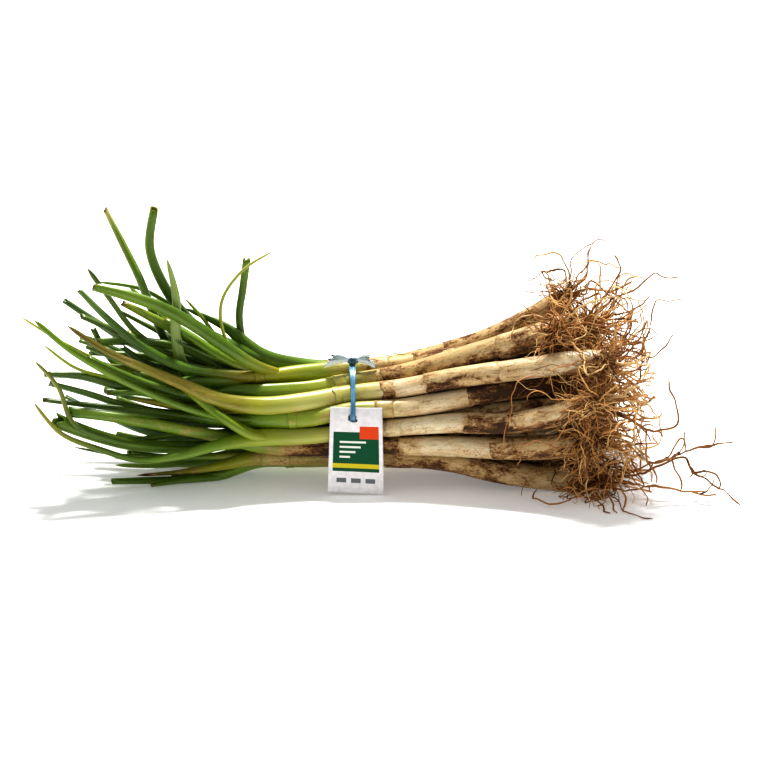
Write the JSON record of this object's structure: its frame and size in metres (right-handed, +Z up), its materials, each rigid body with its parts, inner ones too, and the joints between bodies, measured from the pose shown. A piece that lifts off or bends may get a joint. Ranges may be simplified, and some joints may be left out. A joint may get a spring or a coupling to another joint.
{
  "type": "spring onion bunch",
  "caption": "Tied bunch of long spring onions lying on its side: pale stalks, green leaves, tangled roots, a ribbon tie and a plain card tag.",
  "frame": {"origin": "middle of the footprint of the bunch, on the surface it lies on", "axes": "+X along the bunch towards the roots, +Z up; the tag hangs on the -Y side"},
  "size_m": [0.614, 0.2326, 0.2371],
  "materials": {
    "onion": "waxy leaf and papery skin, cream near the roots and green at the leaves",
    "root": "dry fibrous roots with dark soil",
    "tie": "thin semi-gloss ribbon",
    "tag": "smooth coated card with a printed block"
  },
  "bodies": {
    "root": {"onion_01": "onion", "onion_02": "onion", "onion_03": "onion", "onion_04": "onion", "onion_05": "onion", "onion_06": "onion", "onion_07": "onion", "onion_08": "onion", "onion_09": "onion", "onion_10": "onion", "onion_11": "onion", "onion_12": "onion", "onion_13": "onion", "onion_14": "onion", "onion_15": "onion", "onion_16": "onion", "onion_17": "onion", "onion_18": "onion", "onion_19": "onion", "onion_20": "onion", "onion_21": "onion", "onion_22": "onion", "onion_23": "onion", "onion_24": "onion", "onion_25": "onion", "roots_01": "root", "roots_02": "root", "roots_03": "root", "roots_04": "root", "roots_05": "root", "roots_06": "root", "roots_07": "root", "roots_08": "root", "roots_09": "root", "roots_10": "root", "roots_11": "root", "roots_12": "root", "roots_13": "root", "roots_14": "root", "roots_15": "root", "roots_16": "root", "roots_17": "root", "roots_18": "root", "roots_19": "root", "roots_20": "root", "roots_21": "root", "roots_22": "root", "roots_23": "root", "roots_24": "root", "roots_25": "root", "tie": "tie", "tag": "tag"}
  },
  "joints": []
}
